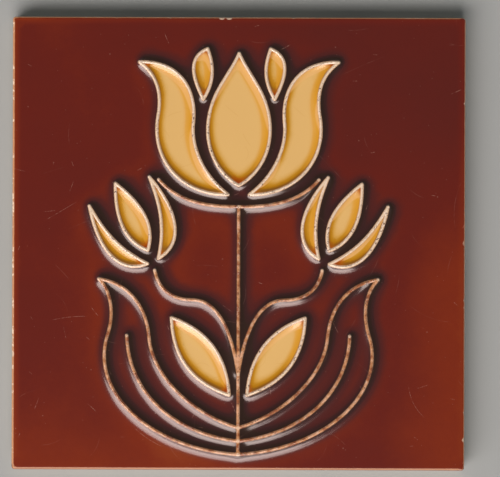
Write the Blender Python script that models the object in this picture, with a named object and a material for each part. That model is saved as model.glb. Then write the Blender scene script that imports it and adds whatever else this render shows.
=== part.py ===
"""A six-inch square wall tile with a raised-line relief of tulips, in one piece of fired clay.

The tile lies on its keyed back with the decorated face up. The origin is at the middle of the back,
+Z is out of the face and +Y runs towards the top of the ornament.
"""

import math

import bmesh
import bpy
from mathutils import Matrix, Vector
from mathutils.geometry import interpolate_bezier

MM = 0.001

# The pressed body, in millimetres
TILE_SIDE = 152.4
GROUND_HEIGHT = 8.6
CORNER_RADIUS = 1.4
CORNER_STEPS = 3
FACE_ARRIS = 0.8
FACE_ARRIS_STEPS = 2
BACK_ARRIS = 0.9

# The raised lines, in millimetres: their section above the ground and how deep they root in it
LINE_HEIGHT = 0.9
LINE_FOOT_WIDTH = 1.9
LINE_CREST_WIDTH = 0.7
LINE_ROOT = 0.4
TURN_PER_STEP = math.radians(13.0)
# The stem stands a hair above the lines that run into it, and the dot where lines end above both
STEM_HEIGHT = 0.92
DOT_HEIGHT = 0.95
DOT_FOOT_WIDTH = 2.2
DOT_CREST_WIDTH = 0.9
DOT_SIDES = 10

# The keying on the back, in millimetres
KEY_GROOVES = 12
KEY_MARGIN = 9.0
KEY_DEPTH = 1.2
KEY_MOUTH = 6.0
KEY_FLOOR = 5.0
CUTTER_OVERSHOOT = 1.0

# The ornament. Each line is a chain of cubic curves: a point, two handles, a point, and so on, in
# millimetres from the middle of the face. Only the right half is written where it mirrors.
BLOOM_FOOT = (0.0, 18.0)
BLOOM_CENTRE_EDGE = [(0, 1.5), (9.5, 7), (12.5, 18), (9.2, 28.5), (7.2, 35), (2.6, 40), (0, 46)]
BLOOM_SIDE_OUTER = [(3.6, -1.5), (18, -2), (30, 9), (27.2, 25), (25.8, 33), (28, 39), (33.5, 43)]
BLOOM_SIDE_INNER = [(33.5, 43), (20, 43.5), (14, 34), (15.4, 22), (16, 13), (11, 4), (3.6, -1.5)]
BLOOM_BACK_INNER = [(12, 30.5), (8.6, 36), (8.2, 41), (10.6, 47.5)]
BLOOM_BACK_OUTER = [(10.6, 47.5), (15.5, 45.5), (17.5, 41), (12, 30.5)]

BUD_FOOT = (29.0, -5.5)
BUD_LEAN = math.radians(26.0)
BUD_CENTRE_EDGE = [(0, 3.5), (5.2, 9), (5.8, 17), (0, 28.5)]
BUD_SIDE_OUTER = [(2, -0.5), (11, 0), (15.5, 9), (11.2, 25.5)]
BUD_SIDE_INNER = [(11.2, 25.5), (10.6, 16), (8.8, 8), (2, -0.5)]

STEM = [(0, 12.4), (0, -14), (0, -42), (0, -71)]
CALYX = [(0, 12.4), (12, 12.2), (21, 14.5), (27, 21.5)]
BUD_STEM = [(0, -44), (2.5, -27), (8, -19), (15.5, -19), (22.5, -19), (27, -15.5), (28.2, -9)]
LEAFLET_LOWER = [(3, -51), (15, -47), (22, -39), (22.5, -25)]
LEAFLET_UPPER = [(22.5, -25), (11, -29), (4, -37), (3, -51)]
LEAF_OUTER = [(0, -71), (30, -69), (50, -50), (44, -31), (41.5, -23), (43, -16), (47, -12)]
LEAF_INNER = [(47, -12), (34, -14), (30.5, -25), (30, -32), (28.5, -46), (14, -58), (0, -62)]
LEAF_RIB = [(0, -66.5), (22, -64), (37, -50), (37.5, -31)]

# The glaze over the whole face
BROWN_GLAZE = (0.14, 0.017, 0.011, 1.0)
GLAZE_ROUGHNESS = 0.12


def clear_scene():
    for obj in list(bpy.data.objects):
        bpy.data.objects.remove(obj, do_unlink=True)


def new_collection(name):
    collection = bpy.data.collections.new(name)
    bpy.context.scene.collection.children.link(collection)
    return collection


def object_from(bm, name, collection):
    """The bmesh, which is in millimetres, as an object in metres."""
    bmesh.ops.transform(bm, matrix=Matrix.Scale(MM, 4), verts=bm.verts)
    bmesh.ops.recalc_face_normals(bm, faces=bm.faces)
    mesh = bpy.data.meshes.new(name)
    bm.to_mesh(mesh)
    bm.free()
    obj = bpy.data.objects.new(name, mesh)
    collection.objects.link(obj)
    return obj


def glaze_material():
    material = bpy.data.materials.new("brown_glaze")
    material.use_nodes = True
    shader = material.node_tree.nodes["Principled BSDF"]
    shader.inputs["Base Color"].default_value = BROWN_GLAZE
    shader.inputs["Roughness"].default_value = GLAZE_ROUGHNESS
    shader.inputs["Metallic"].default_value = 0.0
    return material


def pressed_body():
    """The square slab, with rounded corners, a soft arris round the face and a chamfer round the back."""
    bm = bmesh.new()
    bmesh.ops.create_cube(bm, size=1.0)
    bmesh.ops.translate(bm, vec=(0, 0, 0.5), verts=bm.verts)
    bmesh.ops.scale(bm, vec=(TILE_SIDE, TILE_SIDE, GROUND_HEIGHT), verts=bm.verts)
    upright = [e for e in bm.edges if abs(e.verts[0].co.z - e.verts[1].co.z) > 1.0]
    bmesh.ops.bevel(
        bm, geom=upright, offset=CORNER_RADIUS, segments=CORNER_STEPS, profile=0.5, affect="EDGES"
    )
    for height, width, steps in (
        (GROUND_HEIGHT, FACE_ARRIS, FACE_ARRIS_STEPS),
        (0.0, BACK_ARRIS, 1),
    ):
        rim = [e for e in bm.edges if all(abs(v.co.z - height) < 1e-4 for v in e.verts)]
        bmesh.ops.bevel(bm, geom=rim, offset=width, segments=steps, profile=0.5, affect="EDGES")
    return object_from(bm, "tile", bpy.context.scene.collection)


def mirrored(chain):
    """The same line on the left half."""
    return [(-x, y) for x, y in chain]


def set_out(chain, foot, lean=0.0):
    """A flower's line, drawn from its foot, put in place on the tile and leaned to the right."""
    turn = Matrix.Rotation(-lean, 2)
    return [tuple(turn @ Vector(point) + Vector(foot)) for point in chain]


def centreline(chain):
    """Points along the chain, in the ground plane, closer together where it turns more."""
    points = [Vector(chain[0]).to_3d()]
    for start in range(0, len(chain) - 1, 3):
        corners = [Vector(point).to_3d() for point in chain[start : start + 4]]
        legs = [b - a for a, b in zip(corners, corners[1:])]
        turn = sum(a.angle(b) for a, b in zip(legs, legs[1:]))
        steps = 1 + math.ceil(turn / TURN_PER_STEP)
        points += interpolate_bezier(*corners, steps + 1)[1:]
    return points


def raised_line(chain, height, name, collection):
    """One line of the relief: a ridge with a narrow crest, swept along the chain between two square ends."""
    points = centreline(chain)
    steps = [(b - a).normalized() for a, b in zip(points, points[1:])]
    ways = [steps[0]] + [(a + b).normalized() for a, b in zip(steps, steps[1:])] + [steps[-1]]
    crest = LINE_CREST_WIDTH / 2
    root = rooted(LINE_FOOT_WIDTH / 2, crest, height)
    top, bottom = GROUND_HEIGHT + height, GROUND_HEIGHT - LINE_ROOT
    bm = bmesh.new()
    rings = []
    for point, way in zip(points, ways):
        across = Vector((-way.y, way.x, 0.0))
        section = ((-root, bottom), (-crest, top), (crest, top), (root, bottom))
        rings.append([bm.verts.new(point + across * x + Vector((0, 0, z))) for x, z in section])
    for ring, following in zip(rings, rings[1:]):
        for (a, b), (c, d) in zip(pairs(ring), pairs(following)):
            bm.faces.new((a, b, d, c))
    bm.faces.new(rings[0])
    bm.faces.new(rings[-1])
    bmesh.ops.triangulate(bm, faces=bm.faces)
    return object_from(bm, name, collection)


def rooted(foot, crest, height):
    """Half the width of a line or dot at its root, where its flank, which is foot wide at the ground, ends."""
    return foot + (foot - crest) / height * LINE_ROOT


def line_dot(point, name, collection):
    """The round dot of slip in which raised lines end or meet."""
    crest = DOT_CREST_WIDTH / 2
    root = rooted(DOT_FOOT_WIDTH / 2, crest, DOT_HEIGHT)
    bm = bmesh.new()
    bmesh.ops.create_cone(
        bm,
        segments=DOT_SIDES,
        radius1=root,
        radius2=crest,
        depth=DOT_HEIGHT + LINE_ROOT,
        cap_ends=True,
    )
    middle = GROUND_HEIGHT + (DOT_HEIGHT - LINE_ROOT) / 2
    bmesh.ops.translate(bm, vec=(point[0], point[1], middle), verts=bm.verts)
    return object_from(bm, name, collection)


def ornament_lines():
    """Every raised line of the tile, by name."""
    bloom = {
        "centre": BLOOM_CENTRE_EDGE,
        "side_outer": BLOOM_SIDE_OUTER,
        "side_inner": BLOOM_SIDE_INNER,
        "back_inner": BLOOM_BACK_INNER,
        "back_outer": BLOOM_BACK_OUTER,
    }
    bud = {
        "centre": BUD_CENTRE_EDGE,
        "side_outer": BUD_SIDE_OUTER,
        "side_inner": BUD_SIDE_INNER,
    }
    right = {f"bloom_{key}": set_out(chain, BLOOM_FOOT) for key, chain in bloom.items()}
    for key, chain in bud.items():
        right[f"bud_{key}_a"] = set_out(chain, BUD_FOOT, BUD_LEAN)
        right[f"bud_{key}_b"] = set_out(mirrored(chain), BUD_FOOT, BUD_LEAN)
    right.update(
        calyx=CALYX,
        bud_stem=BUD_STEM,
        leaflet_lower=LEAFLET_LOWER,
        leaflet_upper=LEAFLET_UPPER,
        leaf_outer=LEAF_OUTER,
        leaf_inner=LEAF_INNER,
        leaf_rib=LEAF_RIB,
    )
    lines = {"stem": STEM}
    for key, chain in right.items():
        lines[f"{key}_right"] = chain
        lines[f"{key}_left"] = mirrored(chain)
    return lines


def key_groove(middle, name, collection):
    """The cutter of one keying groove across the back, narrower at its floor than at its mouth."""
    half_length = TILE_SIDE / 2 - KEY_MARGIN
    slope = (KEY_MOUTH - KEY_FLOOR) / 2 / KEY_DEPTH
    below = -CUTTER_OVERSHOOT
    widening = slope * CUTTER_OVERSHOOT
    bm = bmesh.new()
    rings = []
    for height, half_width, reach in (
        (below, KEY_MOUTH / 2 + widening, half_length + widening),
        (KEY_DEPTH, KEY_FLOOR / 2, half_length - (KEY_MOUTH - KEY_FLOOR) / 2),
    ):
        rings.append(
            [
                bm.verts.new((side * reach, middle + edge * half_width, height))
                for side, edge in ((-1, -1), (1, -1), (1, 1), (-1, 1))
            ]
        )
    bmesh.ops.bridge_loops(bm, edges=[bm.edges.new(pair) for ring in rings for pair in pairs(ring)])
    for ring in rings:
        bm.faces.new(ring)
    return object_from(bm, name, collection)


def pairs(ring):
    """Each corner of a closed ring with the next."""
    return list(zip(ring, ring[1:] + ring[:1]))


def hide_helpers(collection):
    for obj in collection.objects:
        obj.hide_render = True
        obj.display_type = "WIRE"


def add_boolean(tile, operation, collection):
    modifier = tile.modifiers.new(operation.lower(), "BOOLEAN")
    modifier.operation = operation
    modifier.solver = "EXACT"
    modifier.operand_type = "COLLECTION"
    modifier.collection = collection


def main():
    clear_scene()
    tile = pressed_body()
    tile.data.materials.append(glaze_material())

    relief = new_collection("raised_lines")
    ends = set()
    for name, chain in ornament_lines().items():
        height = STEM_HEIGHT if chain is STEM else LINE_HEIGHT
        raised_line(chain, height, name, relief)
        ends |= {tuple(round(x, 3) for x in end) for end in (chain[0], chain[-1])}
    for k, end in enumerate(sorted(ends)):
        line_dot(end, f"dot_{k}", relief)
    hide_helpers(relief)
    add_boolean(tile, "UNION", relief)

    keying = new_collection("key_grooves")
    pitch = (TILE_SIDE - 2 * KEY_MARGIN) / KEY_GROOVES
    for k in range(KEY_GROOVES):
        middle = (k - (KEY_GROOVES - 1) / 2) * pitch
        key_groove(middle, f"groove_{k}", keying)
    hide_helpers(keying)
    add_boolean(tile, "DIFFERENCE", keying)


main()
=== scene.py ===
"""An old six-inch wall tile, pressed with raised lines and glazed brown and cream, lying face up."""

import math
import random

import bpy
import numpy as np
from mathutils import Matrix, Vector, kdtree, noise
from mathutils.geometry import delaunay_2d_cdt, interpolate_bezier


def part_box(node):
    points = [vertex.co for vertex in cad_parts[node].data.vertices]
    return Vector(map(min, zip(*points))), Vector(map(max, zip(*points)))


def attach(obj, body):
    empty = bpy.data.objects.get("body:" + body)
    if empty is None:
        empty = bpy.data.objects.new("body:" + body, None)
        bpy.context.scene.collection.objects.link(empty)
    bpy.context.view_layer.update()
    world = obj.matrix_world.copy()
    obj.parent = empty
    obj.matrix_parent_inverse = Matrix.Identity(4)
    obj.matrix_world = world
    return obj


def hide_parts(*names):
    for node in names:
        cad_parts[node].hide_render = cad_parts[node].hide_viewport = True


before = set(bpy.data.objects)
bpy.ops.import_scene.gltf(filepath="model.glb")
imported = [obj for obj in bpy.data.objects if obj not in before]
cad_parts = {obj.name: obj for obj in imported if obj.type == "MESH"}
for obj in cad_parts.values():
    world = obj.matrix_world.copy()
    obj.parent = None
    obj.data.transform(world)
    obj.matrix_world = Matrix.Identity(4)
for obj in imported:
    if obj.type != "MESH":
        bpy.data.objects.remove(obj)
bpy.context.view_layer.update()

# The blank
# A square of buff clay dust pressed in a steel die: upright sides, small round corners, an arris rounded by
# the glaze, and a worn lower edge. Lengths are in millimetres until the mesh is made.
MM = 0.001
lowest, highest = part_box("tile")
TILE_SIDE = (highest.x - lowest.x) / MM
TILE_HEIGHT = (highest.z - lowest.z) / MM
HALF_SIDE = TILE_SIDE / 2
CORNER_RADIUS = 1.0
CORNER_STEPS = 5
RIM_SPACING = 0.62
FACE_ARRIS = 0.6
BACK_ARRIS = 0.7
WORN_MIDDLE = BACK_ARRIS * 0.3


def rim_points():
    """Points round the blank, each as a place on the square of the corners' centres and a way out of it."""
    reach = HALF_SIDE - CORNER_RADIUS
    along = np.linspace(-reach, reach, round(2 * reach / RIM_SPACING) + 1)
    places, ways = [], []
    for quarter in range(4):
        turn = quarter * math.pi / 2
        spin = np.array([[math.cos(turn), math.sin(turn)], [-math.sin(turn), math.cos(turn)]])
        side = np.column_stack([np.full(len(along), reach), along])
        corner = np.tile((reach, reach), (CORNER_STEPS - 1, 1))
        swing = np.arange(1, CORNER_STEPS) / CORNER_STEPS * math.pi / 2
        round_it = np.column_stack([np.cos(swing), np.sin(swing)])
        out = np.vstack([np.tile((1.0, 0.0), (len(along), 1)), round_it])
        places.append(np.round(np.vstack([side, corner]) @ spin, 6))
        ways.append(np.round(out @ spin, 9))
    return np.vstack(places), np.vstack(ways)


rim_places, rim_ways = rim_points()


def rim_loop(inset):
    """The blank's outline, drawn in by inset."""
    return rim_places + rim_ways * (CORNER_RADIUS - inset)


def inset_of(points):
    """How far inside the blank's outline each point lies, seen from above."""
    past = np.abs(points) - (HALF_SIDE - CORNER_RADIUS)
    round_corner = np.linalg.norm(np.maximum(past, 0), axis=1)
    return CORNER_RADIUS - np.where(past.min(axis=1) > 0, round_corner, past.max(axis=1))


# The raised lines
# Thin ridges of slip, half round in section, which stop in a small bead where a line ends. They fence the
# coloured glazes off from one another. Only the right half is drawn where it mirrors.
LINE_HEIGHT = 0.9
LINE_HALF_WIDTH = 0.66
BEAD_SWELL = 0.14
LINE_UNEVENNESS = 0.07
LINE_WAVER = 5.0
CREST_WAVER = 3.1

# A half ellipse has the powers 2 and 0.5; these ease the foot of a line's section
SECTION_POWERS = (2.2, 0.83)
GROUND_HEIGHT = TILE_HEIGHT - 0.95

BLOOM_FOOT = (0.0, 18.0)
BLOOM_CENTRE_EDGE = [(0, 1.5), (9.5, 7), (12.5, 18), (9.2, 28.5), (7.2, 35), (2.6, 40), (0, 46)]
BLOOM_SIDE_OUTER = [(3.6, -1.5), (18, -2), (30, 9), (27.2, 25), (25.8, 33), (28, 39), (33.5, 43)]
BLOOM_SIDE_INNER = [(33.5, 43), (20, 43.5), (14, 34), (15.4, 22), (16, 13), (11, 4), (3.6, -1.5)]
BLOOM_BACK_INNER = [(12, 30.5), (8.6, 36), (8.2, 41), (10.6, 47.5)]
BLOOM_BACK_OUTER = [(10.6, 47.5), (15.5, 45.5), (17.5, 41), (12, 30.5)]
BUD_FOOT = (29.0, -5.5)
BUD_LEAN = math.radians(26.0)
BUD_CENTRE_EDGE = [(0, 3.5), (5.2, 9), (5.8, 17), (0, 28.5)]
BUD_SIDE_OUTER = [(2, -0.5), (11, 0), (15.5, 9), (11.2, 25.5)]
BUD_SIDE_INNER = [(11.2, 25.5), (10.6, 16), (8.8, 8), (2, -0.5)]
STEM = [(0, 12.4), (0, -14), (0, -42), (0, -71)]
CALYX = [(0, 12.4), (12, 12.2), (21, 14.5), (27, 21.5)]
BUD_STEM = [(0, -44), (2.5, -27), (8, -19), (15.5, -19), (22.5, -19), (27, -15.5), (28.2, -9)]
LEAFLET_LOWER = [(3, -51), (15, -47), (22, -39), (22.5, -25)]
LEAFLET_UPPER = [(22.5, -25), (11, -29), (4, -37), (3, -51)]
LEAF_OUTER = [(0, -71), (30, -69), (50, -50), (44, -31), (41.5, -23), (43, -16), (47, -12)]
LEAF_INNER = [(47, -12), (34, -14), (30.5, -25), (30, -32), (28.5, -46), (14, -58), (0, -62)]
LEAF_RIB = [(0, -66.5), (22, -64), (37, -50), (37.5, -31)]

STATION = 0.5
CURVE_STEPS = 97


def mirrored(chain):
    return [(-x, y) for x, y in chain]


def there_and_back(edge):
    """A loop of two lines: an edge on the right, and its mirror image back to the start."""
    return [edge, mirrored(edge)[::-1]]


def set_out(chain, foot, lean=0.0):
    """A flower's line, drawn from its foot, put in place on the tile and leaned to the right."""
    turn = Matrix.Rotation(-lean, 2)
    return [tuple(turn @ Vector(point) + Vector(foot)) for point in chain]


def evenly_along(chain, spacing):
    """Points an even distance apart along a chain of cubic curves."""
    fine = [Vector(chain[0]).to_3d()]
    for start in range(0, len(chain) - 1, 3):
        corners = [Vector(point).to_3d() for point in chain[start : start + 4]]
        fine += interpolate_bezier(*corners, CURVE_STEPS)[1:]
    path = np.array([point.xy for point in fine])
    run = np.concatenate([[0.0], np.cumsum(np.linalg.norm(np.diff(path, axis=0), axis=1))])
    at = np.linspace(0.0, run[-1], max(3, round(run[-1] / spacing) + 1))
    return np.column_stack([np.interp(at, run, path[:, 0]), np.interp(at, run, path[:, 1])])


def both_halves(edges):
    """The loops of lines given for the right half, and their mirror images."""
    return edges + [[mirrored(chain) for chain in loop] for loop in edges]


# Each cell is a closed loop of lines that holds cream glaze
bud = [there_and_back(BUD_CENTRE_EDGE)] + both_halves([[BUD_SIDE_OUTER, BUD_SIDE_INNER]])
bud = [[set_out(chain, BUD_FOOT, BUD_LEAN) for chain in loop] for loop in bud]
bloom = [there_and_back(BLOOM_CENTRE_EDGE)]
bloom += both_halves([[BLOOM_SIDE_OUTER, BLOOM_SIDE_INNER], [BLOOM_BACK_INNER, BLOOM_BACK_OUTER]])
bloom = [[set_out(chain, BLOOM_FOOT) for chain in loop] for loop in bloom]
cells = bloom + both_halves(bud + [[LEAFLET_LOWER, LEAFLET_UPPER]])

# The other lines are drawn on the brown ground alone
ground_lines = [STEM, mirrored(CALYX)[::-1] + CALYX[1:]]
for chain in (BUD_STEM, LEAF_OUTER, LEAF_INNER, LEAF_RIB):
    ground_lines += [chain, mirrored(chain)]

cell_lines = [chain for loop in cells for chain in loop]
stroke_paths = [evenly_along(chain, STATION) for chain in cell_lines + ground_lines]
cell_loops = [np.vstack([evenly_along(chain, STATION)[:-1] for chain in loop]) for loop in cells]
stroke_ends = np.array([path[k] for path in stroke_paths for k in (0, -1)])


def search_tree(points):
    """A tree that finds which of the points lie nearest to a place."""
    tree = kdtree.KDTree(len(points))
    for k, (x, y) in enumerate(points):
        tree.insert((x, y, 0.0), k)
    tree.balance()
    return tree


def finder(paths):
    """The legs from each point of these paths to the next, and a search tree over their middles."""
    starts = np.vstack([path[:-1] for path in paths])
    stops = np.vstack([path[1:] for path in paths])
    return search_tree((starts + stops) / 2), starts, stops


def distance_to(points, lines):
    """How far each point is from the nearest of the lines, measured to their legs."""
    tree, starts, stops = lines
    best = np.full(len(points), np.inf)
    near = [[k for _, k, _ in tree.find_n((x, y, 0.0), 3)] for x, y in points]
    for k in np.array(near).T:
        leg = stops[k] - starts[k]
        share = np.clip(((points - starts[k]) * leg).sum(1) / (leg * leg).sum(1), 0, 1)
        best = np.minimum(best, np.linalg.norm(points - starts[k] - leg * share[:, None], axis=1))
    return best


all_lines = finder(stroke_paths)
cell_outlines = finder(stroke_paths[: len(cell_lines)])


def inside_cells(points):
    """Whether each point lies in one of the cells."""
    inside = np.zeros(len(points), bool)
    for loop in cell_loops:
        boxed = np.flatnonzero(((points > loop.min(0)) & (points < loop.max(0))).all(1))
        x, y = points[boxed].T
        (ax, ay), (bx, by) = loop.T[:, :, None], np.roll(loop, -1, axis=0).T[:, :, None]
        crosses = (ay > y) != (by > y)
        with np.errstate(divide="ignore", invalid="ignore"):
            left = x < (bx - ax) * (y - ay) / (by - ay) + ax
        inside[boxed] |= (crosses & left).sum(0) % 2 == 1
    return inside


# The glaze
# Poured on thickly and fired till it runs: it drains off the crests, climbs the lines in a hollow curve and
# pools between close lines. Its pools are painted darker to the right of and above the lines as shade, and
# the cells' inner sides are painted lighter where they face the lamps, as painted light.

# How far from a line its hold on the glaze is felt: on the climb, the brown, the cream, and what drains off.
# Past several times that it is left out.
CLIMB_SPREAD = 0.86
POOL_SPREAD = 1.4
SETTLE_SPREAD = 0.8
DRAIN_SPREAD = 3.6
FELT_TO = 6.5
SEARCH_PATCH = 8.0

# How high it climbs on the ground and in the cells, and how much higher the cells are filled
GROUND_CLIMB = 0.8
CELL_FILL = 0.14
CELL_CLIMB = 0.66
FULLEST = 1.15
BLEND = 0.1
CELL_BORDER = 0.8

# How far to the right of its lines and above them each of these lies: the brown's pool, painted darker there
# as shade; the cream's pool, painted darker on the cells' lower inner sides as shade; the painted peach
# highlight on their upper inner sides; and the painted golden light on their right inner sides
BROWN_POOL_SHADE_SHIFT = (1.0, 0.8)
CREAM_POOL_SHADE_SHIFT = (0.15, 0.9)
PEACH_HIGHLIGHT_SHIFT = (-0.25, -1.1)
GOLDEN_LIGHT_SHIFT = (-1.0, -0.1)


def ends_alone(paths):
    """The ends of the lines that no other line meets."""
    spots = np.vstack(paths)
    owner = np.repeat(np.arange(len(paths)), [len(path) for path in paths])
    alone = []
    for k, path in enumerate(paths):
        for end in (path[0], path[-1]):
            if np.linalg.norm(spots[owner != k] - end, axis=1).min() > STATION:
                alone.append(end)
    return np.array(alone)


free_ends = ends_alone(stroke_paths)
_, leg_starts, leg_stops = all_lines
leg_lengths = np.linalg.norm(leg_stops - leg_starts, axis=1)


def gathered(points, spread):
    """How much line lies about each point, where 1 is on a straight line, and how that share rises."""
    middles = np.vstack([(leg_starts + leg_stops) / 2, free_ends])
    lengths = np.concatenate([leg_lengths, np.full(len(free_ends), spread)])
    share, rise = np.zeros(len(points)), np.zeros((len(points), 2))
    patches = np.floor(points / SEARCH_PATCH).astype(int)
    for patch in np.unique(patches, axis=0):
        here = np.flatnonzero((patches == patch).all(1))
        off_patch = np.abs(middles - (patch + 0.5) * SEARCH_PATCH).max(1) - SEARCH_PATCH / 2
        near = off_patch < FELT_TO * spread
        gap = points[here, None] - middles[near]
        far = np.sqrt((gap**2).sum(2)) + 1e-6
        pull = lengths[near] * np.exp(-far / spread)
        share[here] = pull.sum(1)
        rise[here] = -np.einsum("pl,pla->pa", pull / far, gap) / spread
    return share / (2 * spread), rise / (2 * spread)


def waver(points, size, seed):
    """A smooth random value from about -1 to 1 at each point, with swells of the given size."""
    return np.array([noise.noise((x / size, y / size, seed)) for x, y in points])


def smooth_greater(a, b, blend):
    """The greater of the two, with the crease between them rounded."""
    overlap = np.maximum(blend - np.abs(a - b), 0)
    return np.maximum(a, b) + overlap**2 / (4 * blend)


# The face
# The fired surface of the glaze: its points follow each line in rows that lie closer where it bends more,
# with an open grid over the plain ground.

# How far from its line each row lies. Two coarser kinds of row keep every second and every third point.
ROWS = (0.0, 0.15, 0.28, 0.39, 0.52, 0.7, 0.95, 1.3, 1.75, 2.3, 3.0, 3.9)
COARSE_FROM = 1.0
COARSEST_FROM = 1.9
ROW_CLEAR_OF_RIM = 0.6
SEAT = 0.03

# The points of a row keep apart by a share of the step between the rows, within two limits
ROW_SHARE = 0.6
ROW_GAPS = (0.2, 1.2)

# Each row inside the rim: how far in it lies, and every how many of the rim's points it keeps
RIM_ROWS = ((0.5, 2), (1.3, 3))
RIM_ROW_GAP = 0.4

# The open grid, its rows a little closer than its points, keeps well off the lines and the rim
OPEN_SPACING = 2.4
OPEN_FLATTENED = 0.88
OPEN_GAP = 1.1
OPEN_FROM = 4.6
OPEN_CLEAR_OF_RIM = 2.2

# Points are sorted into square bins, which are wider than any gap that they have to keep
BIN = 1.3


def row_beside(path, offset):
    """Points beside a line, offset to both sides, and round both of its ends."""
    skip = 1 if offset < COARSE_FROM else 2 if offset < COARSEST_FROM else 3
    if offset == 0.0:
        return path
    way = np.gradient(path, axis=0)
    way /= np.linalg.norm(way, axis=1)[:, None]
    across = np.column_stack([-way[:, 1], way[:, 0]]) * offset
    count = max(6, round(2 * math.pi * offset / (STATION * skip)))
    angles = np.arange(count) / count * 2 * math.pi
    ring = np.column_stack([np.cos(angles), np.sin(angles)]) * offset
    return np.vstack([(path + across)[::skip], (path - across)[::skip], path[0] + ring, path[-1] + ring])


def thinned(points, gap, taken):
    """The points that keep their distance from one another and from those already taken."""
    kept = []
    for x, y in points:
        column, row = int(x // BIN), int(y // BIN)
        near = (p for c in (-1, 0, 1) for r in (-1, 0, 1) for p in taken.get((column + c, row + r), ()))
        if all((x - px) ** 2 + (y - py) ** 2 > gap * gap for px, py in near):
            taken.setdefault((column, row), []).append((x, y))
            kept.append((x, y))
    return kept


def start_from(edge):
    """A list of points that starts with those of an edge, and the bins that hold them."""
    taken = {}
    for x, y in edge:
        taken.setdefault((int(x // BIN), int(y // BIN)), []).append((x, y))
    return [tuple(point) for point in edge], taken


def open_grid():
    """Points in staggered rows, as far apart as plain ground allows."""
    count = int(TILE_SIDE / OPEN_SPACING) + 1
    rows = math.ceil(count / OPEN_FLATTENED)
    across, up = np.tile(np.arange(count), rows), np.repeat(np.arange(rows), count)
    across = (across + up % 2 / 2 - count / 2) * OPEN_SPACING
    return np.column_stack([across, (up - count / 2) * OPEN_SPACING * OPEN_FLATTENED])


def face_points():
    """Every point of the face, seen from above: the rim first, then the rows, then the open ground."""
    edge = rim_loop(FACE_ARRIS)
    points, taken = start_from(edge)
    for previous, offset in zip((0.0,) + ROWS, ROWS):
        row = np.vstack([row_beside(path, offset) for path in stroke_paths])
        row = row[inset_of(row) > FACE_ARRIS + ROW_CLEAR_OF_RIM]
        row = row[distance_to(row, all_lines) > offset - SEAT]
        points += thinned(row, ROW_SHARE * np.clip(offset - previous, *ROW_GAPS), taken)
    for further_in, skip in RIM_ROWS:
        points += thinned(rim_loop(FACE_ARRIS + further_in)[::skip], RIM_ROW_GAP, taken)
    grid = open_grid()
    grid = grid[inset_of(grid) > FACE_ARRIS + OPEN_CLEAR_OF_RIM]
    grid = grid[distance_to(grid, all_lines) > OPEN_FROM]
    points += thinned(grid, OPEN_GAP, taken)
    return np.array(points), len(edge)


def triangles_of(points):
    """The points' triangles, wound to face up."""
    made = delaunay_2d_cdt([Vector(p) for p in points], [], [], 0, 1e-6)
    places, faces, sources = made[0], made[2], made[3]
    if len(places) != len(points):
        raise ValueError(f"{len(points) - len(places)} points of a face fell together")
    order = [source[0] for source in sources]
    faces = np.array([[order[k] for k in face] for face in faces])
    a, b, c = (points[faces[:, k]] for k in range(3))
    turn = (b[:, 0] - a[:, 0]) * (c[:, 1] - a[:, 1]) - (b[:, 1] - a[:, 1]) * (c[:, 0] - a[:, 0])
    faces[turn < 0] = faces[turn < 0][:, ::-1]
    return faces[np.abs(turn) > 1e-7]


UNDULATION = 0.03
UNDULATION_SIZE = 13.0
LEVEL_RIM = 1.0
LEVEL_FADE = 6.0

end_tree = search_tree(stroke_ends)


def distance_to_end(points):
    return np.array([end_tree.find((x, y, 0.0))[2] for x, y in points])


def ridge_height(points):
    """How high the bare ridge stands at each point, with a bead where a line ends."""
    bead = np.maximum(distance_to_end(points) - BEAD_SWELL, 0)
    reach = np.minimum(distance_to(points, all_lines), bead)
    half_width = LINE_HALF_WIDTH * (1 + LINE_UNEVENNESS * waver(points, LINE_WAVER, 3.0))
    across, up = SECTION_POWERS
    section = (1 - np.clip(reach / half_width, 0, 1) ** across) ** up
    return LINE_HEIGHT * section * (1 + LINE_UNEVENNESS / 2 * waver(points, CREST_WAVER, 7.0))


def rolling(points):
    """The slow swell of the whole surface, which dies out towards the rim."""
    fade = np.clip((inset_of(points) - LEVEL_RIM) / LEVEL_FADE, 0, 1)
    return UNDULATION * waver(points, UNDULATION_SIZE, 1.0) * fade


def slope_of(height, points, step):
    """How steeply a height rises to the right and upwards at each point."""
    right, up = np.array((step, 0.0)), np.array((0.0, step))
    rises = [height(points + way) - height(points - way) for way in (right, up)]
    return np.stack(rises, axis=1) / (2 * step)


RIDGE_STEP = 0.03
SWELL_STEP = 0.3
SLOPED_TO = LINE_HALF_WIDTH + 0.3

face_xy, rim_count = face_points()
face_tris = triangles_of(face_xy)
line_mm = distance_to(face_xy, all_lines)
cell_mm = distance_to(face_xy, cell_outlines)
end_mm = distance_to_end(face_xy)
in_cell = inside_cells(face_xy)
about, about_rise = gathered(face_xy, CLIMB_SPREAD)
# The brown's pool, moved to the right of and above the lines, so that it paints shade on that side
pool_and_shade = gathered(face_xy - BROWN_POOL_SHADE_SHIFT, POOL_SPREAD)[0]
# The cream's pool, moved up so that it paints shade on the cells' lower inner sides; with the painted peach
# highlight on their upper inner sides and the painted golden light on their right inner sides
cream_pool_and_shade, peach_highlight, golden_light = np.zeros((3, len(face_xy)))
near_cell = in_cell | (cell_mm < CELL_BORDER)
for values, shift in ((cream_pool_and_shade, CREAM_POOL_SHADE_SHIFT), (peach_highlight, PEACH_HIGHLIGHT_SHIFT), (golden_light, GOLDEN_LIGHT_SHIFT)):
    values[near_cell] = gathered(face_xy[near_cell] - shift, SETTLE_SPREAD)[0]
drained = gathered(face_xy, DRAIN_SPREAD)[0]

ridge = ridge_height(face_xy)
glaze_climb = np.where(in_cell, CELL_CLIMB, GROUND_CLIMB)

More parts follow.
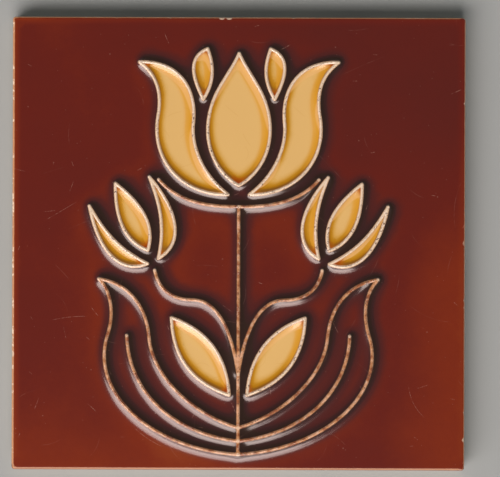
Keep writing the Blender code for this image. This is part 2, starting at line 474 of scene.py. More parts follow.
# The climb is the lesser of what gathers and the fullest, with the crease between them rounded
climb = (np.maximum(about, 1e-9) ** -4 + FULLEST**-4) ** -0.25
glaze_level = np.where(in_cell, CELL_FILL, 0.0) + glaze_climb * climb
face_z = GROUND_HEIGHT + smooth_greater(ridge, glaze_level, BLEND) + rolling(face_xy)
face_z[:rim_count] = GROUND_HEIGHT

# The face's own slope, worked out from its heights, so that a highlight runs along a line without a break
glaze_slope = about_rise * (glaze_climb * (climb / np.maximum(about, 1e-9)) ** 5)[:, None]
ridge_share = np.clip(0.5 + (ridge - glaze_level) / (2 * BLEND), 0, 1)[:, None]
near_line = np.flatnonzero(line_mm < SLOPED_TO)
ridge_slope = np.zeros_like(face_xy)
ridge_slope[near_line] = slope_of(ridge_height, face_xy[near_line], RIDGE_STEP)
face_slope = ridge_share * ridge_slope + (1 - ridge_share) * glaze_slope
face_slope += slope_of(rolling, face_xy, SWELL_STEP)
face_normals = np.column_stack([-face_slope, np.ones(len(face_xy))])
face_normals /= np.linalg.norm(face_normals, axis=1)[:, None]

# The sides
# The glaze rounds the arris and stops a little way down; knocks have flaked it off here and there down to
# the pale clay. Below that the sides are bare.
ARRIS_STEPS = 6
SIDE_STEPS = 5
CHIPS = 60
CHIP_REACH = (0.35, 1.1)
CHIP_DEPTH = (0.02, 0.11)
CHIP_DROP = 0.5
CHIP_WAY = (0.75, 0.66)
CHIP_FLATTENED = (0.7, 0.7, 1.0)
CHIP_STEEPNESS = 1.3
MOSTLY_SMALL = 2.2
FOOT_SPARED = 1.0
random.seed(6)


def side_rows():
    """The rows of the side from the face down: how far each is drawn in, and how far up it is."""
    rows = []
    for k in range(1, ARRIS_STEPS + 1):
        angle = k / ARRIS_STEPS * math.pi / 2
        inset, drop = FACE_ARRIS * (1 - math.sin(angle)), FACE_ARRIS * (1 - math.cos(angle))
        rows.append((inset, GROUND_HEIGHT - drop))
    top, bottom = GROUND_HEIGHT - FACE_ARRIS, BACK_ARRIS
    rows += [(0.0, top + (bottom - top) * k / SIDE_STEPS) for k in range(1, SIDE_STEPS + 1)]
    return rows + [(WORN_MIDDLE, WORN_MIDDLE), (BACK_ARRIS, 0.0)]


chips = []
for _ in range(CHIPS):
    start = random.randrange(len(rim_places))
    height = GROUND_HEIGHT - random.uniform(0.0, CHIP_DROP)
    place = (*rim_loop(0.0)[start], height)
    if place[1] < FOOT_SPARED - HALF_SIDE:
        continue
    smallest, widest = CHIP_REACH
    reach_out = smallest + (widest - smallest) * random.uniform(0, 1) ** MOSTLY_SMALL
    chips.append((place, reach_out, random.uniform(*CHIP_DEPTH)))


def chipped(points, ways):
    """The points pushed back where the arris has lost a flake, and how deep each was pushed."""
    loss = np.zeros(len(points))
    for place, reach_out, depth in chips:
        gap = np.linalg.norm((points - np.array(place)) * CHIP_FLATTENED, axis=1)
        loss = np.maximum(loss, depth * np.clip(CHIP_STEEPNESS * (1 - (gap / reach_out) ** 2), 0, 1))
    inward, down = CHIP_WAY
    push = np.column_stack([-ways * inward, np.full(len(points), -down)])
    return points + push * loss[:, None], loss


side_profile = side_rows()
side_points, side_loss = [], []
for inset, height in side_profile:
    loop = np.column_stack([rim_loop(inset), np.full(len(rim_places), height)])
    moved, loss = chipped(loop, rim_ways)
    side_points.append(moved)
    side_loss.append(loss)
moved, face_loss = chipped(np.column_stack([face_xy[:rim_count], face_z[:rim_count]]), rim_ways)
face_xy[:rim_count] = moved[:, :2]
face_z[:rim_count] = moved[:, 2]

# The back
# The underside, pressed with twelve shallow grooves from side to side, which give the mortar a key. It is
# bare clay, with no glaze on it.
KEY_GROOVES = 12
KEY_MARGIN = 9.0
KEY_DEPTH = 1.2
KEY_MOUTH = 6.0
KEY_SLOPE = 0.5
KEY_PITCH = (TILE_SIDE - 2 * KEY_MARGIN) / KEY_GROOVES
KEY_OUTERMOST = (KEY_GROOVES - 1) / 2
KEY_HALF_LENGTH = HALF_SIDE - KEY_MARGIN
KEY_EASE = 0.08
GROOVE_ROWS = (0.35, 0.0, -0.25, -0.5, -0.85)
GROOVE_SPACING = 1.6
GROOVE_GAP = 0.12
BACK_SPACING = 3.0
BACK_GAP = 0.8
BACK_CLEAR = 2.0


def groove_depth(points):
    """How deep the back is pressed in at each point, and the distance to the nearest groove's mouth."""
    nearest = np.clip(np.round(points[:, 1] / KEY_PITCH - 0.5) + 0.5, -KEY_OUTERMOST, KEY_OUTERMOST)
    past_side = np.abs(points[:, 1] - nearest * KEY_PITCH) - KEY_MOUTH / 2
    past_end = np.abs(points[:, 0]) - KEY_HALF_LENGTH
    past = np.maximum(past_side, past_end)
    share = np.clip((KEY_EASE - past) / (KEY_SLOPE + 2 * KEY_EASE), 0, 1)
    return KEY_DEPTH * share * share * (3 - 2 * share), past


def groove_row(middle, out):
    """Points round the groove with the given middle, at the given distance out from its mouth."""
    across, along = KEY_MOUTH / 2 + out, KEY_HALF_LENGTH + out
    xs = np.linspace(-along, along, round(2 * along / GROOVE_SPACING) + 1)
    ys = np.linspace(-across, across, 7)[1:-1]
    row = [(x, middle + side * across) for x in xs for side in (-1, 1)]
    return np.array(row + [(side * along, middle + y) for y in ys for side in (-1, 1)])


def back_points():
    """Every point of the back: the rim first, then rows round each groove, then a grid over the rest."""
    points, taken = start_from(rim_loop(BACK_ARRIS))
    for k in range(KEY_GROOVES):
        for out in GROOVE_ROWS:
            points += thinned(groove_row((k - KEY_OUTERMOST) * KEY_PITCH, out), GROOVE_GAP, taken)
    count = int(TILE_SIDE / BACK_SPACING)
    steps = (np.arange(count) + 0.5 - count / 2) * BACK_SPACING
    grid = np.column_stack([np.tile(steps, count), np.repeat(steps, count)])
    grid = grid[(inset_of(grid) > BACK_CLEAR) & (np.abs(groove_depth(grid)[1]) > BACK_GAP)]
    return np.array(points + thinned(grid, BACK_GAP, taken))


back_xy = back_points()
back_tris = triangles_of(back_xy)[:, ::-1]
back_z = groove_depth(back_xy)[0]

# One fired piece
# Face, sides and back are one closed skin. The face's rim runs into the first row of the side, and the last
# row of the side into the back.
FACE_LOOK, CLAY_LOOK = 0, 1
GLAZED_SIDE_ROWS = ARRIS_STEPS + 2

loop_count = len(rim_places)
vertices = [np.column_stack([face_xy, face_z])] + side_points[:-1] + [np.column_stack([back_xy, back_z])]
vertices = np.vstack(vertices)
first_side = len(face_xy)
first_back = first_side + loop_count * (len(side_points) - 1)
ring = np.arange(loop_count)
side_starts = first_side + np.arange(len(side_points) - 1) * loop_count
rings = [ring] + [start + ring for start in side_starts] + [first_back + ring]
quads = []
for upper, lower in zip(rings, rings[1:]):
    quads.append(np.column_stack([upper, lower, np.roll(lower, -1), np.roll(upper, -1)]))


def put_in_scene(name, data):
    """A new object with that mesh, lamp or camera."""
    made = bpy.data.objects.new(name, data)
    bpy.context.scene.collection.objects.link(made)
    return made


mesh = bpy.data.meshes.new("fired_tile")
faces = face_tris.tolist() + np.vstack(quads).tolist() + (back_tris + first_back).tolist()
mesh.from_pydata((vertices * MM).tolist(), [], faces)
looks = np.full(len(faces), CLAY_LOOK, np.int32)
looks[: len(face_tris) + loop_count * GLAZED_SIDE_ROWS] = FACE_LOOK
mesh.polygons.foreach_set("material_index", looks)
mesh.polygons.foreach_set("use_smooth", np.ones(len(faces), bool))
mesh.update()
fired_tile = put_in_scene("fired_tile", mesh)

# A flat pattern of the skin, for colours to be baked onto: the face's square in one corner, the back's
# beside it, and the four sides in strips over the face
SHEET_MARGIN = 0.005
FACE_ON_SHEET = 0.655
BACK_ON_SHEET = 0.315
STRIPS_FROM = 0.68
STRIP_PITCH = 0.06
STRIP_HEIGHT = 0.05

face_sheet = SHEET_MARGIN + (face_xy / TILE_SIDE + 0.5) * FACE_ON_SHEET
back_sheet = SHEET_MARGIN + (back_xy / TILE_SIDE + 0.5) * BACK_ON_SHEET
back_sheet += (FACE_ON_SHEET + 3 * SHEET_MARGIN, 0)
profile = np.array([(FACE_ARRIS, GROUND_HEIGHT)] + side_profile)
down_side = np.concatenate([[0.0], np.cumsum(np.linalg.norm(np.diff(profile, axis=0), axis=1))])
down_side *= STRIP_HEIGHT / down_side[-1]
quarter = loop_count // 4
side_sheets = []
for upper, lower in zip(down_side, down_side[1:]):
    start = SHEET_MARGIN + ring % quarter / quarter * FACE_ON_SHEET
    stop = start + FACE_ON_SHEET / quarter
    base = STRIPS_FROM + ring // quarter * STRIP_PITCH
    corners = [(start, base + upper), (start, base + lower), (stop, base + lower), (stop, base + upper)]
    side_sheets.append(np.stack([np.column_stack(corner) for corner in corners], axis=1))
sheet = [face_sheet[face_tris], np.vstack(side_sheets), back_sheet[back_tris]]
sheet = np.vstack([part.reshape(-1, 2) for part in sheet])
mesh.uv_layers.new(name="OFBake").data.foreach_set("uv", sheet.ravel().astype(np.float32))

normals = np.empty(3 * len(vertices), np.float32)
mesh.vertices.foreach_get("normal", normals)
normals = normals.reshape(-1, 3)
normals[rim_count : len(face_xy)] = face_normals[rim_count:]
mesh.normals_split_custom_set_from_vertices(normals.tolist())


def keep(name, on_face, on_side=0.0, on_back=0.0):
    """Stores a value for each point of the skin, which the glaze's nodes read by name."""
    side = np.full(first_back - first_side, on_side) if np.isscalar(on_side) else on_side
    values = np.concatenate([on_face, side, np.full(len(back_xy), on_back)])
    mesh.attributes.new(name, "FLOAT", "POINT").data.foreach_set("value", values.astype(np.float32))


FAR = 9.0
side_inset, side_height = np.repeat(side_profile[:-1], loop_count, axis=0).T
side_drop = GROUND_HEIGHT - side_height
keep("line_mm", np.minimum(line_mm, FAR), FAR, FAR)
keep("cell_mm", np.clip(np.where(in_cell, cell_mm, -cell_mm), -FAR, FAR), -FAR, -FAR)
keep("end_mm", np.minimum(end_mm, FAR), FAR, FAR)
keep("pool_and_shade", pool_and_shade)
keep("cream_pool_and_shade", cream_pool_and_shade)
keep("peach_highlight", peach_highlight - cream_pool_and_shade)
keep("golden_light", golden_light - cream_pool_and_shade)
keep("drained", drained)
keep("rim_mm", np.minimum(inset_of(face_xy), FAR), side_inset - side_drop, -FAR)
flaked = np.zeros(len(face_xy))
flaked[:rim_count] = face_loss
keep("flaked", flaked, np.concatenate(side_loss[:-1]))


# Bare clay
# Buff earthenware fired once: dry and pale, with fine sand in it, and grey where old mortar has stained it.
CLAY = (222, 198, 172)
CLAY_STAIN = (168, 146, 124)
CLAY_SAND = (196, 168, 140)
SAND_DEPTH = 0.25
CLAY_DULLNESS = 0.85
CLAY_SPECULAR = 0.25


def seen(red, green, blue):
    """A colour given as the eye sees it, from 0 to 255, in the light values that shaders take."""
    channels = [value / 255 for value in (red, green, blue)]
    return tuple(((c + 0.055) / 1.055) ** 2.4 if c > 0.04045 else c / 12.92 for c in channels) + (1.0,)


def new_look(name):
    """A new material, its nodes and its main shader."""
    material = bpy.data.materials.new(name)
    material.use_nodes = True
    return material, material.node_tree, material.node_tree.nodes["Principled BSDF"]


def add(tree, kind, inputs=(), **settings):
    """A new node, its settings made and its inputs set or linked in turn."""
    node = tree.nodes.new("ShaderNode" + kind)
    for key, value in settings.items():
        setattr(node, key, value)
    for key, value in dict(inputs).items():
        if isinstance(value, bpy.types.NodeSocket):
            tree.links.new(value, node.inputs[key])
        else:
            node.inputs[key].default_value = value
    return node


def maths(tree, operation, result, *others):
    """The values put together in turn: the first with the second, that with the third, and so on."""
    for value in others:
        result = add(tree, "Math", {0: result, 1: value}, operation=operation).outputs[0]
    return result


def unsigned(tree, value):
    return add(tree, "Math", {0: value}, operation="ABSOLUTE").outputs[0]


def band(tree, value, start, stop, low=0.0, high=1.0):
    """A value that goes smoothly from low to high as the given one goes from start to stop."""
    inputs = {"Value": value, "From Min": start, "From Max": stop, "To Min": low, "To Max": high}
    return add(tree, "MapRange", inputs, interpolation_type="SMOOTHSTEP").outputs["Result"]


def blended(tree, share, first, second):
    """The first colour, gone over to the second by the share."""
    node = add(tree, "Mix", {0: share, 6: first, 7: second}, data_type="RGBA")
    return node.outputs[2]


def ramp(tree, value, *stops):
    """A colour for each value, through the stops."""
    node = add(tree, "ValToRGB", {"Fac": value})
    for _ in range(len(stops) - 2):
        node.color_ramp.elements.new(0.5)
    for element, (place, colour) in zip(node.color_ramp.elements, stops):
        element.position = place
        element.color = seen(*colour)
    return node.outputs["Color"]


def millimetres(tree):
    """The place on the tile in millimetres."""
    place = add(tree, "TexCoord").outputs["Object"]
    return add(tree, "VectorMath", {0: place, "Scale": 1 / MM}, operation="SCALE").outputs[0]


def cloud(tree, place, size, detail=2.0, roughness=0.5):
    """A soft random value about a half, with patches of the given size."""
    inputs = {"Vector": place, "Scale": 1 / size, "Detail": detail, "Roughness": roughness}
    return add(tree, "TexNoise", inputs).outputs["Fac"]


def swing(tree, reach, soft):
    """A soft random value brought about nought and stretched by the reach."""
    return maths(tree, "MULTIPLY", maths(tree, "SUBTRACT", soft, 0.5), reach)


def clay_colour(tree, place):
    """Pale clay with darker grains of sand, and grey stains."""
    stain = band(tree, cloud(tree, place, 26.0, 4.0, 0.6), 0.46, 0.72)
    grain = band(tree, cloud(tree, place, 0.5, 3.0, 0.7), 0.35, 0.7, 0.0, 0.35)
    base = blended(tree, stain, seen(*CLAY), seen(*CLAY_STAIN))
    return blended(tree, grain, base, seen(*CLAY_SAND))


clay, tree, shader = new_look("bare_clay")
place = millimetres(tree)
tree.links.new(clay_colour(tree, place), shader.inputs["Base Color"])
shader.inputs["Roughness"].default_value = CLAY_DULLNESS
shader.inputs["Specular IOR Level"].default_value = CLAY_SPECULAR
sand = cloud(tree, place, 0.55, 4.0, 0.65)
sand = add(tree, "Bump", {"Height": sand, "Distance": SAND_DEPTH * MM, "Strength": 0.6})
tree.links.new(sand.outputs[0], shader.inputs["Normal"])

# Brown and cream glaze
# Clear lead glaze stained with iron: tan where it is thin over a crest, chestnut on the ground, almost black
# where it pools. The cream one goes amber, then red, as it deepens towards the lines.
FILM_BROWN = (136, 60, 30)
THIN_BROWN = (125, 48, 27)
CHESTNUT = (104, 38, 30)
DEEP_BROWN = (94, 38, 33)
HALO_BROWN = (84, 40, 38)
POOLED_BROWN = (62, 40, 40)
DEEPEST_BROWN = (54, 41, 36)
CREST_TAN = (200, 148, 102)
PALE_TAN_SHEEN = (224, 178, 142)
DARK_TAN = (158, 98, 62)
BEAD_TAN = (244, 220, 190)
ARRIS_TAN = (204, 148, 102)
FOOT_TAN = (186, 134, 92)
FOOT_BROWN = (132, 78, 50)
RUBBED_CREAM = (250, 234, 208)
CREAM = (230, 196, 125)
WARM_CREAM = (226, 189, 112)
STRAW = (218, 174, 82)
AMBER = (202, 150, 40)
DEEP_AMBER = (186, 131, 22)
OLIVE_SHADE = (148, 104, 38)
GOLDEN_LIGHT = (224, 168, 58)
PEACH_HIGHLIGHT = (238, 196, 130)
ORANGE_AMBER = (186, 106, 20)
RED_AMBER = (156, 66, 18)
CREST_BEIGE = (210, 180, 146)
CREST_CREAM = (240, 226, 200)
GLINT = (250, 236, 220)
GRIME = (96, 74, 66)
CHALK = (226, 178, 160)
USUAL_DEPTH = 0.44
STROKE_FULL_TO = 0.3
SCRATCH_FADE = 0.12
SEED_SHIFT = (17.3, 5.1, 0.0)
GLOSS = 0.15
LEAD_GLAZE_IOR = 1.7
SKIN_DEPTH = 0.05
EDGE_START = HALF_SIDE - 2.2
EDGE_FULL = HALF_SIDE - 1.2

# How much further out towards each edge the glaze stays thick, in millimetres. The tan film over the arris
# is painted wider on the lit left edge and foot and narrower on the shaded right and top edges, as light and
# shade
ARRIS_LIGHT_SHIFT = {"left": -0.24, "right": 0.3, "top": 0.12, "foot": -0.26}


def scattered(tree, place, size, seed):
    """Splits the face into patches of about the given size. Gives the way from each patch's middle to the
    point, and a random colour for the patch."""
    shift = tuple(seed * step for step in SEED_SHIFT)
    moved = add(tree, "VectorMath", {0: place, 1: shift}, operation="ADD").outputs[0]
    flat = add(tree, "VectorMath", {0: moved, 1: (1, 1, 0)}, operation="MULTIPLY").outputs[0]
    patch = add(tree, "TexVoronoi", {"Vector": flat, "Scale": 1 / size}, voronoi_dimensions="2D")
    away = add(tree, "VectorMath", {0: flat, 1: patch.outputs["Position"]}, operation="SUBTRACT").outputs[0]
    return away, add(tree, "SeparateColor", {0: patch.outputs["Color"]})


def scratches(tree, place, size, length, width, share, seed, bowed=0.02):
    """A stroke in some of the patches, at its own angle and bowed by up to that share of its length."""
    away, chance = scattered(tree, place, size, seed)
    angle = maths(tree, "MULTIPLY", chance.outputs[0], 2 * math.pi)
    turned = add(tree, "VectorRotate", {"Vector": away, "Angle": angle}, rotation_type="Z_AXIS").outputs[0]
    along, across, _ = add(tree, "SeparateXYZ", {0: turned}).outputs
    bow = maths(tree, "MULTIPLY", maths(tree, "SUBTRACT", chance.outputs[1], 0.5), 8 * bowed / length)
    across = maths(tree, "SUBTRACT", across, maths(tree, "MULTIPLY", bow, along, along))
    line = band(tree, unsigned(tree, across), width / 2, width / 2 + SCRATCH_FADE, 1.0, 0.0)
    ends = band(tree, unsigned(tree, along), length * STROKE_FULL_TO, length / 2, 1.0, 0.0)
    return maths(tree, "MULTIPLY", line, ends, maths(tree, "LESS_THAN", chance.outputs[2], share))


def specks(tree, place, size, radius, share, seed):
    """A pit or grain of dirt in some of the patches."""
    away, chance = scattered(tree, place, size, seed)
    gap = add(tree, "VectorMath", {0: away}, operation="LENGTH").outputs["Value"]
    dot = band(tree, gap, radius * 0.5, radius * 1.2, 1.0, 0.0)
    return maths(tree, "MULTIPLY", dot, maths(tree, "LESS_THAN", chance.outputs[2], share))


glaze, tree, shader = new_look("brown_and_cream_glaze")
place = millimetres(tree)


def stored(name):
    """A value that the skin keeps for each of its points."""
    return add(tree, "Attribute", attribute_name=name).outputs["Fac"]


line_gap = stored("line_mm")
cell_gap = stored("cell_mm")
pool_and_shade = stored("pool_and_shade")
cream_pool_and_shade = stored("cream_pool_and_shade")
peach_highlight = stored("peach_highlight")
golden_light = stored("golden_light")
end_gap = stored("end_mm")
drained_off = stored("drained")
rim_gap = stored("rim_mm")
flake = stored("flaked")

# How deep the brown glaze lies: 0 is a film, 1 the deepest of the open ground. It lies deeper towards the
# top right, and thinner at the lower right, at the left of the foot and where it drew back from the rim.
east, north, _ = add(tree, "SeparateXYZ", {0: place}).outputs
unevenness = swing(tree, 0.5, cloud(tree, place, 34.0))
mottle = swing(tree, 0.16, cloud(tree, place, 2.4, 5.0, 0.7))
above_right = maths(tree, "MULTIPLY", band(tree, east, -66.0, 24.0), band(tree, north, 0.0, 50.0), 0.32)
thin_right = maths(tree, "MULTIPLY", band(tree, east, 44.0, 74.0), band(tree, north, 22.0, -14.0), 0.3)
thin_foot = maths(tree, "MULTIPLY", band(tree, north, -46.0, -76.0), band(tree, east, 16.0, -20.0), 0.25)
thin = maths(tree, "MAXIMUM", thin_right, thin_foot)
depth = maths(tree, "ADD", unevenness, mottle, USUAL_DEPTH, above_right)
depth = maths(tree, "SUBTRACT", depth, thin, band(tree, drained_off, 0.1, 0.8, 0.0, 0.13))
drawn_back = maths(tree, "MULTIPLY", band(tree, rim_gap, 3.4, 0.3), band(tree, north, -74.0, -71.0))
drawn_back = maths(tree, "MULTIPLY", drawn_back, band(tree, east, -60.0, -70.0, 0.5, 0.9))
depth = maths(tree, "MULTIPLY", depth, maths(tree, "SUBTRACT", 1.0, drawn_back))
brown = ramp(tree, depth, (0.0, FILM_BROWN), (0.14, THIN_BROWN), (0.45, CHESTNUT), (0.8, DEEP_BROWN))
# Pooled glaze darkens the brown near the lines; moved to the right and up, it is also painted shade
brown = blended(tree, band(tree, pool_and_shade, 0.05, 0.34), brown, seen(*HALO_BROWN))
brown = blended(tree, band(tree, pool_and_shade, 0.34, 0.66), brown, seen(*POOLED_BROWN))
brown = blended(tree, band(tree, pool_and_shade, 0.66, 1.0), brown, seen(*DEEPEST_BROWN))

# How deep the cream lies, and the orange and red it takes on in the corners of the cells. Moved up, its pool
# is also painted shade, amber to olive, on the cells' lower inner sides
cream_depth = maths(tree, "ADD", cream_pool_and_shade, swing(tree, 0.16, cloud(tree, place, 6.0)))
stops = (0.06, CREAM), (0.13, WARM_CREAM), (0.24, STRAW), (0.39, AMBER), (0.68, DEEP_AMBER), (0.95, OLIVE_SHADE)
cream = ramp(tree, cream_depth, *stops)
corner_gap = maths(tree, "ADD", end_gap, swing(tree, 9.0, cloud(tree, place, 9.0)))
orange = maths(tree, "MULTIPLY", band(tree, corner_gap, 4.8, 1.6), band(tree, cream_pool_and_shade, 0.3, 0.7))
red = maths(tree, "MULTIPLY", band(tree, corner_gap, 3.0, 0.6), band(tree, cream_pool_and_shade, 0.5, 1.0))
# Painted light: golden on the cells' right inner sides, which face the lamps
cream = blended(tree, band(tree, golden_light, 0.04, 0.26, 0.0, 0.75), cream, seen(*GOLDEN_LIGHT))
# Painted highlight: a pale peach band on the cells' upper inner sides, where the glaze slopes towards the
# lamps
cream = blended(tree, band(tree, peach_highlight, 0.17, 0.27, 0.0, 0.6), cream, seen(*PEACH_HIGHLIGHT))
crazing = scratches(tree, place, size=9.0, length=6.5, width=0.04, share=0.65, seed=8, bowed=0.3)
cream = blended(tree, maths(tree, "MULTIPLY", crazing, 0.2), cream, seen(*AMBER))
cream = blended(tree, orange, cream, seen(*ORANGE_AMBER))
cream = blended(tree, red, cream, seen(*RED_AMBER))

# The crests, where hardly any glaze is left
fray = swing(tree, 0.2, cloud(tree, place, 1.1, 3.0, 0.6))
line_reach = maths(tree, "ADD", line_gap, fray)
cell_reach = maths(tree, "ADD", unsigned(tree, cell_gap), fray)
tan_crest = band(tree, line_reach, 0.26, 0.72, 1.0, 0.0)
cream_crest = band(tree, cell_reach, 0.36, 0.66, 1.0, 0.0)
colour = blended(tree, band(tree, cell_gap, -0.1, 0.1), brown, cream)
# The crests' tan varies in patches; the palest patches are painted highlight, where a crest catches the
# light
tan = ramp(tree, cloud(tree, place, 2.6, 3.0), (0.36, PALE_TAN_SHEEN), (0.49, CREST_TAN), (0.6, DARK_TAN))
tan = blended(tree, band(tree, end_gap, 0.4, 0.85, 0.7, 0.0), tan, seen(*BEAD_TAN))
colour = blended(tree, tan_crest, colour, tan)
colour = blended(tree, cream_crest, colour, seen(*CREST_BEIGE))
colour = blended(tree, band(tree, cell_reach, 0.12, 0.5, 1.0, 0.0), colour, seen(*CREST_CREAM))

# The arris, where the glaze is thin over the clay, and the bare patches below it
at_edges = {
    "left": band(tree, east, -EDGE_START, -EDGE_FULL),
    "right": band(tree, east, EDGE_START, EDGE_FULL),
    "top": band(tree, north, EDGE_START, EDGE_FULL),
    "foot": band(tree, north, -EDGE_START, -EDGE_FULL),
}
# The tan over the arris is thin glaze, painted wider on the lit edges and narrower on the shaded ones
over_arris = maths(tree, "ADD", rim_gap, fray)
for edge, further in ARRIS_LIGHT_SHIFT.items():
    over_arris = maths(tree, "ADD", over_arris, maths(tree, "MULTIPLY", at_edges[edge], further))
film = band(tree, over_arris, 0.6, 0.2)
film_tan = blended(tree, at_edges["foot"], seen(*ARRIS_TAN), seen(*FOOT_TAN))
colour = blended(tree, film, colour, film_tan)
rubbed = band(tree, cloud(tree, place, 2.2, 3.0, 0.65), 0.54, 0.62, 0.0, 0.85)
more_at_left = band(tree, at_edges["left"], 0.0, 1.0, 0.3, 1.0)
none_at_foot = band(tree, at_edges["foot"], 0.0, 1.0, 1.0, 0.0)
rubbed = maths(tree, "MULTIPLY", rubbed, band(tree, over_arris, 0.5, 0.2), more_at_left, none_at_foot)
colour = blended(tree, rubbed, colour, seen(*RUBBED_CREAM))
under_foot = maths(tree, "MULTIPLY", band(tree, rim_gap, 0.26, 0.06), at_edges["foot"])
colour = blended(tree, under_foot, colour, seen(*FOOT_BROWN))
runs = swing(tree, 4.0, cloud(tree, place, 5.0, 3.0, 0.6))
bare = band(tree, maths(tree, "ADD", rim_gap, runs), -0.9, -1.5)
bare = maths(tree, "MAXIMUM", bare, band(tree, flake, 0.04, 0.09))
colour = blended(tree, bare, colour, clay_colour(tree, place))

# Wear: fine chalky scratches, pits and rubbed crests
short = scratches(tree, place, size=23.0, length=4.5, width=0.05, share=0.35, seed=1)
long = scratches(tree, place, size=43.0, length=13.0, width=0.03, share=0.5, seed=2, bowed=0.11)
knocks = scratches(tree, place, size=13.0, length=1.8, width=0.06, share=0.25, seed=3)
worn = maths(tree, "MAXIMUM", short, long, knocks)
worn = maths(tree, "MULTIPLY", worn, band(tree, cloud(tree, place, 0.7, 3.0, 0.7), 0.42, 0.6, 0.12, 1.0))
wide_scuffs = scratches(tree, place, size=37.0, length=17.0, width=0.03, share=0.7, seed=6, bowed=0.14)
scuffs = scratches(tree, place, size=17.0, length=8.0, width=0.03, share=0.6, seed=7, bowed=0.12)
scuffs = maths(tree, "MAXIMUM", wide_scuffs, scuffs)
scuffs = maths(tree, "MULTIPLY", scuffs, band(tree, cloud(tree, place, 2.6), 0.4, 0.6, 0.2, 1.0))
grains = specks(tree, place, size=6.0, radius=0.14, share=0.3, seed=4)
pits = maths(tree, "MAXIMUM", grains, specks(tree, place, size=17.0, radius=0.25, share=0.3, seed=5))
strengths = ((worn, 0.25), (pits, 0.14), (scuffs, 0.075))
marks = maths(tree, "MAXIMUM", *(maths(tree, "MULTIPLY", kind, strength) for kind, strength in strengths))
colour = blended(tree, marks, colour, seen(*CHALK))

# The crests again: pale glints, partly rubbed wear and partly painted highlight, and dirt in their nicks
either_crest = maths(tree, "MAXIMUM", cream_crest, tan_crest)
glints = band(tree, cloud(tree, place, 1.1, 3.0, 0.6), 0.55, 0.66, 0.0, 0.75)
paler = maths(tree, "MAXIMUM", cream_crest, maths(tree, "MULTIPLY", tan_crest, 0.35))
colour = blended(tree, maths(tree, "MULTIPLY", glints, paler), colour, seen(*GLINT))
nicks = band(tree, cloud(tree, place, 0.7, 3.0, 0.65), 0.56, 0.63, 0.0, 0.9)
nicks = maths(tree, "MULTIPLY", nicks, band(tree, cloud(tree, place, 15.0, 1.0), 0.52, 0.62, 0.3, 1.0))
colour = blended(tree, maths(tree, "MULTIPLY", nicks, either_crest), colour, seen(*GRIME))
tree.links.new(colour, shader.inputs["Base Color"])

# Glossy glaze, duller where it is scratched, thin or gone
duller = ((bare, 0.7), (marks, 0.5), (film, 0.35))
dullness = maths(tree, "ADD", GLOSS, *(maths(tree, "MULTIPLY", kind, more) for kind, more in duller))
tree.links.new(maths(tree, "MINIMUM", dullness, CLAY_DULLNESS), shader.inputs["Roughness"])
shader.inputs["IOR"].default_value = LEAD_GLAZE_IOR
skin = cloud(tree, place, 4.5, 0.0)
skin = maths(tree, "SUBTRACT", skin, maths(tree, "MULTIPLY", marks, 0.8))
peel = add(tree, "Bump", {"Height": skin, "Distance": SKIN_DEPTH * MM, "Strength": 0.5})
tree.links.new(peel.outputs[0], shader.inputs["Normal"])

mesh.materials.append(glaze)
mesh.materials.append(clay)
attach(fired_tile, "root")
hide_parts("tile")

# The bench
# The plain board that the tile lies on, painted a flat pale grey. It is wide enough to be all that is seen
# round the tile.
BENCH_SIDE = 6.0
BENCH_GREY = (164, 176, 178)
BENCH_DULLNESS = 0.9
bench_mesh = bpy.data.meshes.new("bench")
half = BENCH_SIDE / 2
bench_corners = [(-half, -half, 0), (half, -half, 0), (half, half, 0), (-half, half, 0)]
bench_mesh.from_pydata(bench_corners, [], [(0, 1, 2, 3)])
bench = put_in_scene("bench", bench_mesh)
bench_paint, tree, shader = new_look("bench_paint")
shader.inputs["Base Color"].default_value = seen(*BENCH_GREY)
shader.inputs["Roughness"].default_value = BENCH_DULLNESS
bench_mesh.materials.append(bench_paint)

# The light
# Three long soft strips, one beyond another past the foot of the tile, pick out the lines. The room is dark
# overhead, so the flat glaze keeps its colour, and pale lower down.
LIGHT_TINT = (1.0, 0.82, 0.76)
LIGHT_AWAY = 3.0

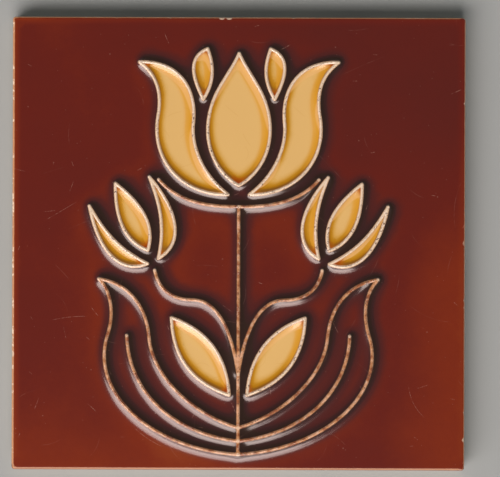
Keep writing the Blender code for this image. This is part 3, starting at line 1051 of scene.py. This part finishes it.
# Each strip's tilt in degrees, its height, its two ends and its brightness; lengths are in metres
STRIPS = {
    "near_strip": (23.0, 0.6, (-2.3, 0.5), 5.2),
    "far_strip": (35.0, 0.7, (-3.9, 0.7), 7.0),
    "low_strip": (56.0, 1.2, (-3.2, 0.4), 4.4),
}
ROOM_OVERHEAD = 0.02
ROOM_LOW = 0.4
ROOM_TINT = (1.0, 0.96, 0.93, 1.0)

# An area lamp's power is spread over its face and over every way out of it, so it is pi times face and glow
for name, (tilt, height, (left_end, right_end), brightness) in STRIPS.items():
    lamp = bpy.data.lights.new(name, "AREA")
    lamp.shape = "RECTANGLE"
    lamp.size = right_end - left_end
    lamp.size_y = height
    lamp.energy = math.pi * lamp.size * lamp.size_y * brightness
    lamp.color = LIGHT_TINT
    light = put_in_scene(name, lamp)
    lean = math.radians(tilt)
    middle = (left_end + right_end) / 2
    light.location = (middle, -LIGHT_AWAY * math.sin(lean), LIGHT_AWAY * math.cos(lean))
    light.rotation_euler.x = lean

room = bpy.data.worlds.new("room")
room.use_nodes = True
tree = room.node_tree
upward = add(tree, "SeparateXYZ", {0: add(tree, "TexCoord").outputs["Generated"]}).outputs[2]
glow = band(tree, upward, 0.35, 0.8, ROOM_LOW, ROOM_OVERHEAD)
tree.links.new(glow, tree.nodes["Background"].inputs["Strength"])
tree.nodes["Background"].inputs["Color"].default_value = ROOM_TINT
bpy.context.scene.world = room
bpy.context.scene.view_settings.view_transform = "Standard"

# The camera
# Straight above the tile on a long lens. The picture takes in 168.3 mm from side to side. The tile sits a
# little to the left of its middle and is turned a fifth of a degree. Lengths are in metres.
SPAN = 0.1683
LENS = 200.0
SENSOR = 36.0
CENTRE = (0.00385, 0.00173)
TURN = math.radians(0.2)

camera_data = bpy.data.cameras.new("camera")
camera_data.lens = LENS
camera_data.sensor_width = SENSOR
camera_data.clip_end = 20.0
camera = put_in_scene("camera", camera_data)
camera.location = (*CENTRE, GROUND_HEIGHT * MM + SPAN * LENS / SENSOR)
camera.rotation_euler.z = TURN
bpy.context.scene.camera = camera
